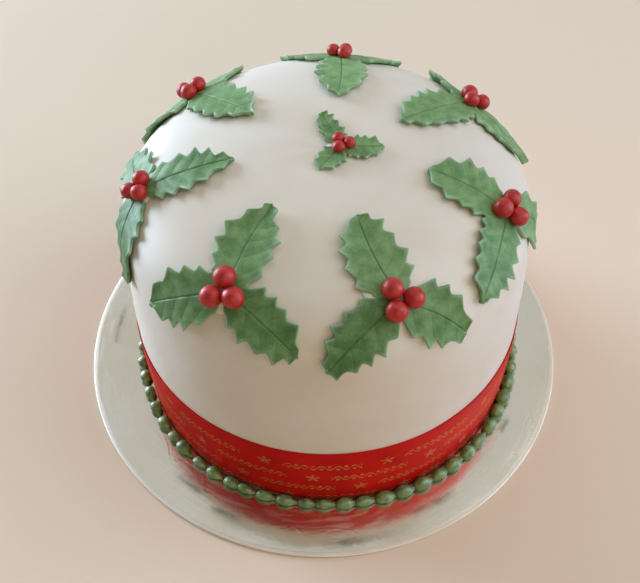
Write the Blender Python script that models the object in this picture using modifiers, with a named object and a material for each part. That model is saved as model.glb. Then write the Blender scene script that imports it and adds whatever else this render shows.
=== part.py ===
"""A small iced Christmas cake on its round silver card.

The cake stands on a thin card. Its icing has gently bulging sides and a domed
top. A red ribbon goes round the foot, and a row of piped beads fixes the cake to
the card. Seven sprigs of holly lie round the shoulder and a smaller one lies near
the middle of the top, each with three leaves and three berries.

Metres, +Z up, origin at the bottom centre of the card, front towards -Y.
"""
import math
import random

import bmesh
import bpy
import numpy as np
from mathutils import Vector

GAP = 0.0003                     # between neighbouring pieces

BOARD_RADIUS = 0.1016
BOARD_THICKNESS = 0.002
BOARD_RIM = 0.0006               # rounding of the card's edge
BOARD_STEPS = 64

CAKE_OFF_CENTRE = (0.0017, -0.0007)
CAKE_HEIGHT = 0.116
CAKE_WIDEST_RADIUS = 0.0784
CAKE_WIDEST_HEIGHT = 0.036
CAKE_LEAN = 0.0024               # the side leans in this much from there to the shoulder
DOME_REACH = 0.062               # width of the dome's curve, seen from above
DOME_DROP = 0.027                # height of the dome's curve
DOME_ROWS = 8
SIDE_ROWS = 4
CAKE_STEPS = 60
SHOULDER_RADIUS = CAKE_WIDEST_RADIUS - CAKE_LEAN
SHOULDER_HEIGHT = CAKE_HEIGHT - DOME_DROP
FLAT_RADIUS = SHOULDER_RADIUS - DOME_REACH

RIBBON_WIDTH = 0.038
RIBBON_THICKNESS = 0.0004
RIBBON_FOOT = 0.0006             # height of its lower edge over the card
RIBBON_LAP = math.radians(14)    # how far the end laps over the start
RIBBON_RISE = math.radians(7)    # over which the end climbs onto the start
RIBBON_SEAM = math.radians(83)   # where the lap lies, at the back
RIBBON_STEPS = 72
RIBBON_COLUMNS = 3

BEADS = 63
BEAD_LENGTH = 0.0112
BEAD_WIDTH = 0.0054
BEAD_HEIGHT = 0.0053
BEAD_SEGMENTS = 7
BEAD_RINGS = 4
BEAD_TAPER = 0.35                # how much thinner a bead's tail is than its head
BEAD_UNEVEN = 0.07

LEAF_SPIKE = 0.0018              # how far a spike stands out past the hollows
LEAF_SPIKES = 4                  # on each side
LEAF_THICKNESS = 0.0013
LEAF_LIFT = 0.0018               # how far the edges stand off the icing
LEAF_FREE_SHARE = 0.5            # share of the length over which they come free
LEAF_START = 0.0012              # from the middle of the sprig to the leaf's foot
LEAF_COLUMNS = 5

BERRY_FLATTEN = 0.96
BERRY_PRESS = 0.25               # share of its radius that is pressed flat underneath
BERRY_UNEVEN = 0.06              # the smallest berry against the largest
BERRY_SEGMENTS = 10
BERRY_RINGS = 6
SMALL_SCALE = 0.58               # the middle sprig's spikes against the others

# Name, azimuth and distance from the cake's axis, the berries' radius, how far they
# are turned, then for each leaf its heading, how far its tip reaches from the middle
# of the sprig, its half width between the spikes, and how far it bends sideways.
# Lengths here are in millimetres. Heading 0 points away from the cake's axis. Headings
# and bends grow counter-clockwise seen from above.
SPRIGS = [
    ("front_left", -121, 64, 3.7, 0, [(-62, 31.5, 8.6, 0), (-177, 34, 9.2, 1), (73, 32, 7.8, 0.6)]),
    ("front_right", -69, 63.6, 3.6, 0, [(-63, 33, 7.8, -0.8), (-176, 32.5, 9.3, 1.4), (51, 26.5, 8.8, 1)]),
    ("right", -18, 65.2, 3.3, 20, [(-84, 37, 7.6, 0), (177, 31, 9.4, -0.8), (32, 30, 8, 0)]),
    ("back_right", 33, 66.2, 2.9, 3, [(-73, 31, 8.4, -1), (-176, 38.5, 8.8, 0.3), (66, 34.5, 8.2, 0)]),
    ("back", 84, 62, 2.5, 8, [(-60, 27, 8, 0), (-177, 35.5, 8.4, 0.8), (66, 27, 8, 0)]),
    ("back_left", 139.5, 66.5, 2.9, 50, [(-76, 30, 8.2, 0), (-184, 37, 9, -0.4), (52, 28.5, 8, 0)]),
    ("left", 187, 66, 2.9, 30, [(-75, 26, 7.8, 0), (180, 36, 7.8, 0), (37, 35, 9, 2)]),
]
MIDDLE_SPRIG = ("middle", 7, 5.8, 2.1, 33, [(-134, 14, 4.3, 0), (106, 19, 3.5, 0), (-9, 15, 5, 0)])
MILLIMETRE = 0.001
BERRY_HEADINGS = (-160, -40, 80)
WALK_STEPS = 24

RED_RIBBON = ((0.42, 0.012, 0.010), 0.35, 0.0)
SILVER_CARD = ((0.62, 0.61, 0.55), 0.25, 0.9)
WHITE_ICING = ((0.80, 0.77, 0.72), 0.45, 0.0)
MOSS_GREEN = ((0.10, 0.15, 0.06), 0.25, 0.0)
LEAF_GREEN = ((0.12, 0.26, 0.11), 0.6, 0.0)
BERRY_RED = ((0.42, 0.018, 0.02), 0.35, 0.0)


def clear_scene():
    for obj in list(bpy.data.objects):
        bpy.data.objects.remove(obj, do_unlink=True)


def new_collection(name):
    collection = bpy.data.collections.new(name)
    bpy.context.scene.collection.children.link(collection)
    return collection


def material(name, look):
    color, roughness, metallic = look
    mat = bpy.data.materials.new(name)
    mat.use_nodes = True
    shader = mat.node_tree.nodes["Principled BSDF"]
    shader.inputs["Base Color"].default_value = (*color, 1.0)
    shader.inputs["Roughness"].default_value = roughness
    shader.inputs["Metallic"].default_value = metallic
    return mat


def add_object(name, mesh, mat, collection, parent):
    obj = bpy.data.objects.new(name, mesh)
    collection.objects.link(obj)
    obj.parent = parent
    mesh.materials.append(mat)
    mesh.shade_smooth()
    mesh.set_sharp_from_angle(angle=math.radians(40))
    return obj


def turned(name, profile, steps, mat, collection, parent):
    """Turns a profile of (radius, height) round the Z axis with a Screw modifier."""
    mesh = bpy.data.meshes.new(name)
    points = [(radius, 0.0, height) for radius, height in profile]
    edges = [(i, i + 1) for i in range(len(points) - 1)]
    mesh.from_pydata(points, edges, [])
    obj = add_object(name, mesh, mat, collection, parent)
    screw = obj.modifiers.new("turn", "SCREW")
    screw.axis = "Z"
    screw.angle = 2 * math.pi
    screw.steps = steps
    screw.render_steps = steps
    screw.use_merge_vertices = True
    screw.merge_threshold = 0.00005
    screw.use_smooth_shade = True
    return obj


def grid_surface(columns, rows):
    """A flat grid of unit size, as a bmesh, with its vertices in rows of columns."""
    bm = bmesh.new()
    bmesh.ops.create_grid(bm, x_segments=columns - 1, y_segments=rows - 1, size=0.5)
    bm.verts.ensure_lookup_table()
    return bm


def thicken(obj, thickness, offset):
    solid = obj.modifiers.new("thickness", "SOLIDIFY")
    solid.thickness = thickness
    solid.offset = offset
    solid.use_rim = True
    return solid


def side_radius(height):
    """Radius of the side: a shallow parabola, widest a third of the way up."""
    away = (height - CAKE_WIDEST_HEIGHT) / (SHOULDER_HEIGHT - CAKE_WIDEST_HEIGHT)
    return CAKE_WIDEST_RADIUS - CAKE_LEAN * np.clip(away, -1.0, 1.0) ** 2


def icing_level(points):
    """How far outside the icing each point is, as a share of the dome's size, and the gradient.

    The dome is a quarter ellipse carried round a flat middle, and the side below it
    is nearly upright, so one elliptic distance serves for both.
    """
    x, y, z = points[..., 0], points[..., 1], points[..., 2]
    radius = np.maximum(np.hypot(x, y), 1e-9)
    across = np.maximum(radius - (side_radius(z) - DOME_REACH), 0.0) / DOME_REACH
    above = np.maximum(z - SHOULDER_HEIGHT, 0.0) / DOME_DROP
    level = np.maximum(np.hypot(across, above), 1e-9)
    outward = across / DOME_REACH / radius
    gradient = np.stack([outward * x, outward * y, above / DOME_DROP], axis=-1)
    return level - 1.0, gradient / level[..., None]


def to_icing(points):
    """Moves points straight to the icing, and gives its normals there."""
    for _ in range(5):
        level, gradient = icing_level(points)
        size = (gradient ** 2).sum(axis=-1)
        points = points - (level / size)[..., None] * gradient
    gradient = icing_level(points)[1]
    return points, gradient / np.linalg.norm(gradient, axis=-1)[..., None]


def sprig_frame(azimuth, distance):
    """The middle of a sprig on the icing, with its outward, sideways and normal axes."""
    angle = math.radians(azimuth)
    start = np.array([distance * math.cos(angle), distance * math.sin(angle), CAKE_HEIGHT])
    for _ in range(8):
        start = to_icing(start)[0]
        start[:2] *= distance / np.hypot(*start[:2])
    middle, normal = to_icing(start)
    sideways = np.array([-math.sin(angle), math.cos(angle), 0.0])
    return middle, np.cross(sideways, normal), sideways, normal


def lay_on_icing(frame, flat):
    """Lays flat points, given in the sprig's own plane, on the icing.

    Each point keeps its heading and its distance from the middle of the sprig, and
    walks there over the icing in short straight steps.
    """
    middle, outward, sideways, _ = frame
    distance = np.maximum(np.hypot(flat[:, 0], flat[:, 1]), 1e-9)
    way = (flat[:, :1] * outward + flat[:, 1:] * sideways) / distance[:, None]
    points = np.repeat(middle[None, :], len(flat), axis=0)
    for _ in range(WALK_STEPS):
        points, normals = to_icing(points + way * (distance / WALK_STEPS)[:, None])
        way = way - (way * normals).sum(axis=1)[:, None] * normals
        way = way / np.linalg.norm(way, axis=1)[:, None]
    return points, normals


def leaf_rows(half_width, spike):
    """Rows from foot to tip: share of the length, half width at the edge, forward reach of the edge.

    Hollows and spikes take turns along a blunt oval, and each spike leans to the tip.
    """
    rows = [(0.0, 0.0, 0.0)]
    pitch = 0.92 / LEAF_SPIKES
    for number in range(LEAF_SPIKES):
        hollow = pitch * (number + 0.34)
        point = pitch * (number + 0.78)
        for share, stand_out in ((hollow, 0.0), (point, spike)):
            oval = half_width * math.sin(math.pi * share ** 0.85) ** 0.7
            rows.append((share, oval + stand_out, stand_out * 0.5))
    rows.append((0.94, 0.3 * half_width, 0.0))
    rows.append((1.0, 0.0, 0.0))
    return rows


def add_leaf(name, frame, leaf, scale, mat, collection, parent):
    """A thin leaf whose rows follow its length and whose edges rise a little in waves."""
    heading, reach, half_width, bend = leaf
    start = LEAF_START * scale
    length = reach * MILLIMETRE - start
    rows = leaf_rows(half_width * MILLIMETRE, LEAF_SPIKE * scale)
    angle = math.radians(heading)
    phase = math.radians(heading * 3)
    flat, heights = [], []
    for share, edge, forward in rows:
        middle = bend * MILLIMETRE * math.sin(math.pi * share)
        for column in range(LEAF_COLUMNS):
            side = 2.0 * column / (LEAF_COLUMNS - 1) - 1.0
            along = length * share + forward * side ** 2
            across = middle + edge * side
            wave = 0.6 + 0.4 * math.sin(2.5 * math.pi * share + phase * side)
            free = min(1.0, share / LEAF_FREE_SHARE) ** 1.4
            rise = LEAF_LIFT * side ** 2 * wave * free
            flat.append((start + along, across))
            heights.append(GAP + scale * rise)
    flat = np.array(flat)
    turn = np.array([[math.cos(angle), math.sin(angle)], [-math.sin(angle), math.cos(angle)]])
    points, normals = lay_on_icing(frame, flat @ turn)
    points = points + normals * np.array(heights)[:, None]

    bm = grid_surface(LEAF_COLUMNS, len(rows))
    for vert, point in zip(bm.verts, points):
        vert.co = point
    bmesh.ops.remove_doubles(bm, verts=bm.verts, dist=0.00001)
    bmesh.ops.triangulate(bm, faces=bm.faces)
    bmesh.ops.recalc_face_normals(bm, faces=bm.faces)
    if sum(face.normal.dot(face.calc_center_median()) for face in bm.faces) < 0:
        bmesh.ops.reverse_faces(bm, faces=bm.faces)
    mesh = bpy.data.meshes.new(name)
    bm.to_mesh(mesh)
    bm.free()
    obj = add_object(name, mesh, mat, collection, parent)
    thicken(obj, LEAF_THICKNESS * scale ** 0.5, 1.0)


def add_berry(name, frame, heading, spread, radius, clearance, mat, collection, parent):
    """A ball beside the other two of its sprig, pressed flat where it rests on the leaves."""
    middle, outward, sideways, normal = frame
    angle = math.radians(heading)
    way = math.cos(angle) * outward + math.sin(angle) * sideways
    underside = radius * (1 - BERRY_PRESS)
    centre = middle + spread * way + (clearance + underside) * normal
    for _ in range(6):
        foot, up = to_icing(centre)
        centre = centre - normal * (np.linalg.norm(centre - foot) - clearance - underside)
    bm = bmesh.new()
    bmesh.ops.create_uvsphere(bm, u_segments=BERRY_SEGMENTS, v_segments=BERRY_RINGS, radius=radius)
    bmesh.ops.scale(bm, vec=(1.0, 1.0, BERRY_FLATTEN), verts=bm.verts)
    up = Vector(up)
    for vert in bm.verts:
        vert.co += max(0.0, -underside - vert.co.dot(up)) * up
    mesh = bpy.data.meshes.new(name)
    bm.to_mesh(mesh)
    bm.free()
    obj = add_object(name, mesh, mat, collection, parent)
    obj.location = centre


def add_sprig(sprig, scale, rng, mats, collection, parent):
    name, azimuth, distance, berry_radius, berry_turn, leaves = sprig
    frame = sprig_frame(azimuth, distance * MILLIMETRE)
    for number, leaf in enumerate(leaves, start=1):
        add_leaf(f"leaf_{name}_{number}", frame, leaf, scale, mats["leaf"], collection, parent)
    spread = (berry_radius * MILLIMETRE + GAP / 2) / math.sin(math.pi / 3)
    clearance = 2 * GAP + LEAF_THICKNESS * scale ** 0.5
    for number, heading in enumerate(BERRY_HEADINGS, start=1):
        radius = berry_radius * MILLIMETRE * (1 - BERRY_UNEVEN * rng.random())
        add_berry(f"berry_{name}_{number}", frame, heading + berry_turn, spread, radius,
                  clearance, mats["berry"], collection, parent)


def add_board(mat, collection, parent):
    top, rim = BOARD_THICKNESS, BOARD_RIM
    profile = [
        (0.0, top),
        (BOARD_RADIUS - rim, top),
        (BOARD_RADIUS, top - rim),
        (BOARD_RADIUS, rim),
        (BOARD_RADIUS - rim, 0.0),
        (0.0, 0.0),
    ]
    turned("cake_board", profile, BOARD_STEPS, mat, collection, parent)


def add_cake(mat, collection, parent):
    profile = [(0.0, CAKE_HEIGHT)]
    for row in range(DOME_ROWS + 1):
        angle = 0.5 * math.pi * row / DOME_ROWS
        radius = FLAT_RADIUS + DOME_REACH * math.sin(angle)
        height = SHOULDER_HEIGHT + DOME_DROP * math.cos(angle)
        profile.append((radius, height))
    for row in range(1, SIDE_ROWS + 1):
        height = SHOULDER_HEIGHT * (1 - row / SIDE_ROWS)
        profile.append((float(side_radius(height)), height))
    profile.append((0.0, 0.0))
    turned("iced_cake", profile, CAKE_STEPS, mat, collection, parent)


def ribbon_layer(turned_by):
    """How far off the first layer the ribbon runs, at an angle from its start."""
    climb = (turned_by - (2 * math.pi - RIBBON_RISE)) / RIBBON_RISE
    climb = min(1.0, max(0.0, climb))
    return (RIBBON_THICKNESS + GAP) * climb * climb * (3 - 2 * climb)


def add_ribbon(mat, collection, parent):
    """One band that follows the side, with its end lapped over its start."""
    bm = grid_surface(RIBBON_COLUMNS, RIBBON_STEPS + 1)
    whole = 2 * math.pi + RIBBON_LAP
    for index, vert in enumerate(bm.verts):
        step, column = divmod(index, RIBBON_COLUMNS)
        turned_by = whole * step / RIBBON_STEPS
        angle = RIBBON_SEAM + turned_by
        height = RIBBON_FOOT + RIBBON_WIDTH * column / (RIBBON_COLUMNS - 1)
        radius = side_radius(height) + GAP + ribbon_layer(turned_by)
        vert.co = (radius * math.cos(angle), radius * math.sin(angle), height)
    bmesh.ops.triangulate(bm, faces=bm.faces)
    bmesh.ops.recalc_face_normals(bm, faces=bm.faces)
    face = bm.faces[:][0]
    middle = face.calc_center_median()
    if face.normal.x * middle.x + face.normal.y * middle.y < 0:
        bmesh.ops.reverse_faces(bm, faces=bm.faces)
    mesh = bpy.data.meshes.new("ribbon")
    bm.to_mesh(mesh)
    bm.free()
    obj = add_object("ribbon", mesh, mat, collection, parent)
    thicken(obj, RIBBON_THICKNESS, 1.0)


def border_radius(angle):
    """Radius of the row of beads, just outside the ribbon and its lap."""
    outside = side_radius(RIBBON_FOOT + BEAD_HEIGHT / 2) + 2 * GAP + RIBBON_THICKNESS
    past_seam = (angle - RIBBON_SEAM) % (2 * math.pi)
    near_lap = past_seam < RIBBON_LAP * 1.5 or past_seam > 2 * math.pi - 2 * RIBBON_RISE
    if near_lap:
        outside += RIBBON_THICKNESS + GAP
    return outside + BEAD_WIDTH * (1 + BEAD_UNEVEN) / 2


def bead_mesh(angle, rng):
    """A teardrop lying along the border, its thin tail under the next bead's head."""
    bm = bmesh.new()
    bmesh.ops.create_uvsphere(bm, u_segments=BEAD_SEGMENTS, v_segments=BEAD_RINGS, radius=0.5)
    size = 1 + BEAD_UNEVEN * rng.uniform(-1, 1)
    swell = 1 + BEAD_UNEVEN * rng.uniform(-1, 1)
    floor = GAP * rng.uniform(1.0, 1.3)
    radius = border_radius(angle)
    for vert in bm.verts:
        along, across, up = vert.co.z, vert.co.x, vert.co.y
        thin = 1 - BEAD_TAPER * (along + 0.5)
        tangent = along * BEAD_LENGTH * size
        outward = across * BEAD_WIDTH * swell * thin
        height = BEAD_HEIGHT * swell * (0.42 + up * thin)
        turn = angle + tangent / radius
        reach = radius + outward
        vert.co = (reach * math.cos(turn), reach * math.sin(turn), max(height, 0.0) + floor)
    bmesh.ops.recalc_face_normals(bm, faces=bm.faces)
    mesh = bpy.data.meshes.new("bead")
    bm.to_mesh(mesh)
    bm.free()
    return mesh


def add_border(mat, collection, parent):
    """Pipes the beads one by one, then fuses them with one union."""
    rng = random.Random(12)
    beads = new_collection("beads")
    for number in range(BEADS):
        angle = 2 * math.pi * (number + 0.1 * rng.uniform(-1, 1)) / BEADS
        bead = bpy.data.objects.new(f"bead_{number}", bead_mesh(angle, rng))
        beads.objects.link(bead)
    first = beads.objects[0]
    beads.objects.unlink(first)
    collection.objects.link(first)
    union = first.modifiers.new("fuse", "BOOLEAN")
    union.operation = "UNION"
    union.operand_type = "COLLECTION"
    union.collection = beads
    union.solver = "EXACT"
    evaluated = first.evaluated_get(bpy.context.evaluated_depsgraph_get())
    mesh = bpy.data.meshes.new_from_object(evaluated)
    mesh.name = "piped_border"
    for obj in list(beads.objects) + [first]:
        bpy.data.objects.remove(obj, do_unlink=True)
    bpy.data.collections.remove(beads)
    obj = add_object("piped_border", mesh, mat, collection, parent)
    obj.location = (0.0, 0.0, -GAP)


def build():
    clear_scene()
    collection = new_collection("christmas_cake")
    cake_centre = bpy.data.objects.new("cake_centre", None)
    cake_centre.location = (*CAKE_OFF_CENTRE, BOARD_THICKNESS + GAP)
    collection.objects.link(cake_centre)
    mats = {
        "board": material("silver card", SILVER_CARD),
        "icing": material("white icing", WHITE_ICING),
        "ribbon": material("red ribbon", RED_RIBBON),
        "border": material("moss green icing", MOSS_GREEN),
        "leaf": material("green sugar paste", LEAF_GREEN),
        "berry": material("red sugar paste", BERRY_RED),
    }
    add_board(mats["board"], collection, None)
    add_cake(mats["icing"], collection, cake_centre)
    add_ribbon(mats["ribbon"], collection, cake_centre)
    add_border(mats["border"], collection, cake_centre)
    rng = random.Random(5)
    for sprig in SPRIGS:
        add_sprig(sprig, 1.0, rng, mats, collection, cake_centre)
    add_sprig(MIDDLE_SPRIG, SMALL_SCALE, rng, mats, collection, cake_centre)


build()
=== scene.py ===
"""A small iced Christmas cake with sugar holly, on its round silver card.

Metres, +Z up, front towards -Y. The pieces follow one another as the cake is put
together: card, icing, ribbon, piped border, holly leaves, dabs, berries. Names that end
in ROUND, ROWS, COLUMNS or SECTIONS count a mesh's points. Colours in whole numbers run
from 0 to 255 as on a screen, the others from 0 to 1 in linear light.
"""

import math

import bpy
import numpy as np
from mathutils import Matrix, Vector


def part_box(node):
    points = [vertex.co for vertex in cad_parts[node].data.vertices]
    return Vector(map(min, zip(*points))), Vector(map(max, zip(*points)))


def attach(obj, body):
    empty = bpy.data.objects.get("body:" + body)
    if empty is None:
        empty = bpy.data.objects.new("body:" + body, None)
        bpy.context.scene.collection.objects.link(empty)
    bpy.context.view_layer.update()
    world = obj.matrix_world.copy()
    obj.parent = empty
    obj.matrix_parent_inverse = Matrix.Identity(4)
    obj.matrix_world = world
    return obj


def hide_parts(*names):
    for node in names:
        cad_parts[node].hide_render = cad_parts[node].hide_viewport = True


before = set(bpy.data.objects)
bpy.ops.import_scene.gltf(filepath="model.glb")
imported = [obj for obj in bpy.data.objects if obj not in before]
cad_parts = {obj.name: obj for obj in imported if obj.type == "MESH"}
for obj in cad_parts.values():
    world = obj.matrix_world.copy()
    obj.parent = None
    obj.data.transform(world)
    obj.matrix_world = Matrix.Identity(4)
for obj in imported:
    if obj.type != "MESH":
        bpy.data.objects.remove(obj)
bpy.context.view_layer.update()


# The card: a thin round board wrapped in silver foil, its rim rolled smooth. The foil
# carries a fine grain, worn streaks, small creases in patches, and some greenish smudges
# where it has been handled.

CARD_LOW, CARD_HIGH = (np.array(corner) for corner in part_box("cake_board"))
CARD_RADIUS = (CARD_HIGH[0] - CARD_LOW[0]) / 2
CARD_TOP = CARD_HIGH[2]
CARD_ROUND = 384
CARD_TOP_ROWS = 70
CARD_RIM_ROWS = 14
CARD_UNDER_ROWS = 8
CARD_RIM = 0.0007
CARD_DROOP = 0.0010
DROOP_START = 0.085
CARD_WAVE = 0.00004
ROLLED_WIDTH = 0.0012
FACE_FADE = 0.004
POLE_RING = 0.001
FOIL_SILVER = (228, 225, 214)
FOIL_WARM = (220, 214, 198)
FOIL_SMUDGE = (128, 134, 118)
STREAK_SKEW = 0.008
STREAK_CIRCLE = 0.011
# Each smudge's angle in degrees, radius in millimetres and half length in degrees, and
# then the half width of all of them in millimetres.
SMUDGES = [
    (-127, 89.3, 5), (-115, 92.6, 4), (-83, 96, 7.5),
    (-62, 91.3, 6), (-31, 87.4, 2.5), (176, 92, 7),
]
SMUDGE_HALF_WIDTH = 1.1
# A millimetre in metres.
MM = 0.001


def ringed_mesh(name, rings, start, end):
    """Closed skins, each a stack of rings with a fan of faces to a point at both ends.

    rings has the shape (skins, rings, around, 3), and start and end (skins, 3). Seen
    from its start along the stack the rings run clockwise, so faces point outwards.
    """
    skins, count, around, _ = rings.shape
    points = np.concatenate([rings.reshape(skins, -1, 3), start[:, None], end[:, None]], axis=1)
    near = np.arange(around)
    far = np.roll(near, -1)
    row = np.arange(count - 1)[:, None] * around
    quads = np.stack([row + near, row + far, row + around + far, row + around + near], axis=-1)
    last = (count - 1) * around
    start_fan = np.stack([far, near, np.full(around, last + around)], axis=-1)
    end_fan = np.stack([last + near, last + far, np.full(around, last + around + 1)], axis=-1)
    shift = np.arange(skins)[:, None, None] * points.shape[1]
    quads = quads.reshape(1, -1, 4) + shift
    fans = np.concatenate([start_fan, end_fan])[None] + shift
    faces = quads.reshape(-1, 4).tolist() + fans.reshape(-1, 3).tolist()
    mesh = bpy.data.meshes.new(name)
    mesh.from_pydata(points.reshape(-1, 3).tolist(), [], faces)
    mesh.shade_smooth()
    return mesh


def turned_rings(radius, height, around):
    """Rings round the Z axis, one for each radius and height, as one skin."""
    angle = np.linspace(0, 2 * math.pi, around, endpoint=False)
    x = radius[:, None] * np.cos(angle)
    y = radius[:, None] * np.sin(angle)
    return np.stack([x, y, np.broadcast_to(height[:, None], x.shape)], axis=-1)[None]


def colour(red, green, blue):
    """A colour of the screen, from 0 to 255, as linear light for a shader's socket."""
    value = np.array([red, green, blue]) / 255
    linear = np.where(value <= 0.04045, value / 12.92, ((value + 0.055) / 1.055) ** 2.4)
    return (*linear.tolist(), 1.0)


def new_material(name):
    """A material with its Principled shader, and the node tree that both are in."""
    mat = bpy.data.materials.new(name)
    mat.use_nodes = True
    return mat, mat.node_tree, mat.node_tree.nodes["Principled BSDF"]


def set_inputs(tree, node, inputs):
    """Gives a node's inputs their numbers, colours or other nodes' outputs."""
    for key, value in inputs.items():
        if isinstance(value, bpy.types.NodeSocket):
            tree.links.new(value, node.inputs[key])
        else:
            node.inputs[key].default_value = value


def add_node(tree, kind, inputs=(), **settings):
    """A new shader node with its settings and inputs."""
    made = tree.nodes.new(kind)
    for key, value in settings.items():
        setattr(made, key, value)
    set_inputs(tree, made, dict(inputs))
    return made


def calc(tree, operation, *values):
    """The result of one Math node."""
    return add_node(tree, "ShaderNodeMath", enumerate(values), operation=operation).outputs[0]


def vector_calc(tree, operation, *values):
    """The outputs of one Vector Math node."""
    return add_node(tree, "ShaderNodeVectorMath", enumerate(values), operation=operation).outputs


def blend(tree, factor, first, second):
    """The first colour, going over to the second as the factor goes from 0 to 1."""
    inputs = {0: factor, 6: first, 7: second}
    return add_node(tree, "ShaderNodeMix", inputs, data_type="RGBA").outputs[2]


def spread(tree, value, low, high, to_low, to_high):
    """A value's range from low to high made to run from to_low to to_high."""
    inputs = {0: value, 1: low, 2: high, 3: to_low, 4: to_high}
    return add_node(tree, "ShaderNodeMapRange", inputs).outputs[0]


def noise(tree, place, scale, detail=3.0, roughness=0.5):
    """A cloudy value from 0 to 1, with its patches about 1 / scale metres wide."""
    inputs = {"Vector": place, "Scale": scale, "Detail": detail, "Roughness": roughness}
    return add_node(tree, "ShaderNodeTexNoise", inputs).outputs[0]


def noise_vector(tree, place, scale, reach):
    """A cloudy shift in all directions, up to about reach metres."""
    inputs = {"Vector": place, "Scale": scale, "Detail": 2.0}
    cloud = add_node(tree, "ShaderNodeTexNoise", inputs).outputs["Color"]
    centred = vector_calc(tree, "SUBTRACT", cloud, (0.5, 0.5, 0.5))[0]
    return vector_calc(tree, "MULTIPLY", centred, (reach, reach, reach))[0]


def own_place(tree):
    """Coordinates that are fixed to the piece, in metres."""
    return add_node(tree, "ShaderNodeTexCoord").outputs["Object"]


def bumped(tree, height, depth, strength=1.0, below=None):
    """A normal that follows a height from 0 to 1, which stands for depth metres."""
    inputs = {"Height": height, "Distance": depth, "Strength": strength}
    if below is not None:
        inputs["Normal"] = below
    return add_node(tree, "ShaderNodeBump", inputs).outputs[0]


def store_value(mesh, name, values):
    """Keeps one number for each vertex of a mesh, for a material to read."""
    layer = mesh.attributes.new(name, "FLOAT", "POINT")
    layer.data.foreach_set("value", np.ascontiguousarray(values, dtype=np.float32).ravel())


def read_value(tree, name):
    """The number that store_value kept under this name."""
    return add_node(tree, "ShaderNodeAttribute", attribute_name=name).outputs["Fac"]


def place_piece(name, mesh, mat, slot, *nodes):
    """Puts a finished mesh in the scene as one piece, in place of the solids it stands for."""
    piece = bpy.data.objects.new(name, mesh)
    bpy.context.scene.collection.objects.link(piece)
    mesh.materials.append(mat)
    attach(piece, "root")
    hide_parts(*nodes)
    return piece


def foil_smudge(x, y):
    """How smudged the foil is: soft streaks along the rim, each at an angle and a radius."""
    radius = np.hypot(x, y) / MM
    angle = np.degrees(np.arctan2(y, x))
    total = np.zeros_like(x)
    for middle, streak_radius, half_length in SMUDGES:
        along = np.exp(-((angle - middle) / half_length) ** 4)
        across = np.exp(-((radius - streak_radius) / SMUDGE_HALF_WIDTH) ** 2)
        total = total + along * across
    return total


def card_mesh():
    """A profile turned round the Z axis: flat underneath, a half-round rim, the foiled face.

    Beyond the cake the face droops to the rim along a parabola, and waves a little. The
    mesh keeps two numbers: how smudged the foil is, and how near its rolled rim it lies.
    """
    edge = CARD_RADIUS - CARD_RIM
    inwards = np.linspace(edge, POLE_RING, CARD_TOP_ROWS)
    droop = CARD_DROOP * np.clip((inwards - DROOP_START) / (edge - DROOP_START), 0, 1) ** 2
    outwards = np.linspace(POLE_RING, edge, CARD_UNDER_ROWS)[:-1]
    bend = np.linspace(-math.pi / 2, math.pi / 2, CARD_RIM_ROWS)[:-1]
    rim_height = (CARD_TOP - CARD_DROOP) / 2 * (1 + np.sin(bend))
    radius = np.concatenate([outwards, edge + CARD_RIM * np.cos(bend), inwards])
    height = np.concatenate([outwards * 0, rim_height, CARD_TOP - droop])
    rings = turned_rings(radius, height, CARD_ROUND)
    x, y, z = np.moveaxis(rings, -1, 0)
    angle = np.arctan2(y, x)
    on_face = np.zeros_like(height)
    on_face[-CARD_TOP_ROWS:] = np.clip((edge - inwards) / FACE_FADE, 0, 1)
    wave = CARD_WAVE * (np.sin(3 * angle + x * 90) + np.sin(5 * angle - 1 + y * 130))
    rings[..., 2] = z + wave * on_face[:, None]
    mesh = ringed_mesh("silver_card", rings, np.zeros((1, 3)), np.array([[0.0, 0.0, CARD_TOP]]))
    smudge = foil_smudge(x, y) * on_face[:, None]
    rolled = np.clip((radius - edge + ROLLED_WIDTH) / ROLLED_WIDTH, 0, 1)[:, None] + 0 * angle[0]
    store_value(mesh, "smudge", np.append(smudge.ravel(), [0.0, 0.0]))
    store_value(mesh, "rolled", np.append(rolled.ravel(), [0.0, 0.0]))
    return mesh


def foil_streaks(tree, place):
    """Fine worn streaks that run round the card in patches, slightly askew.

    They are a noise over the distance from the middle and a small circle, which stands
    for the way round, so that they close on themselves.
    """
    radius = vector_calc(tree, "LENGTH", place)["Value"]
    way = vector_calc(tree, "NORMALIZE", place)[0]
    part = add_node(tree, "ShaderNodeSeparateXYZ", {0: way}).outputs
    outward = calc(tree, "MULTIPLY_ADD", part["X"], STREAK_SKEW, radius)
    across = calc(tree, "MULTIPLY", part["X"], STREAK_CIRCLE)
    along = calc(tree, "MULTIPLY", part["Y"], STREAK_CIRCLE)
    laid = add_node(tree, "ShaderNodeCombineXYZ", {0: outward, 1: across, 2: along}).outputs[0]
    fine = spread(tree, noise(tree, laid, scale=650.0), 0.5, 0.62, 0.0, 1.0)
    patches = spread(tree, noise(tree, place, scale=22.0, detail=1.0), 0.40, 0.56, 0.4, 1.0)
    return calc(tree, "MULTIPLY", fine, patches)


def foil_creases(tree, place):
    """Thin creases in patches: the borders of bent cells, seen where a noise is high."""
    bent = vector_calc(tree, "ADD", place, noise_vector(tree, place, scale=90.0, reach=0.006))[0]
    cells = {"Vector": bent, "Scale": 62.0}
    border = add_node(tree, "ShaderNodeTexVoronoi", cells, feature="DISTANCE_TO_EDGE").outputs[0]
    patches = spread(tree, noise(tree, place, scale=45.0, detail=1.0), 0.45, 0.62, 0.0, 1.0)
    return calc(tree, "MULTIPLY", spread(tree, border, 0.0, 0.05, 1.0, 0.0), patches)


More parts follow.
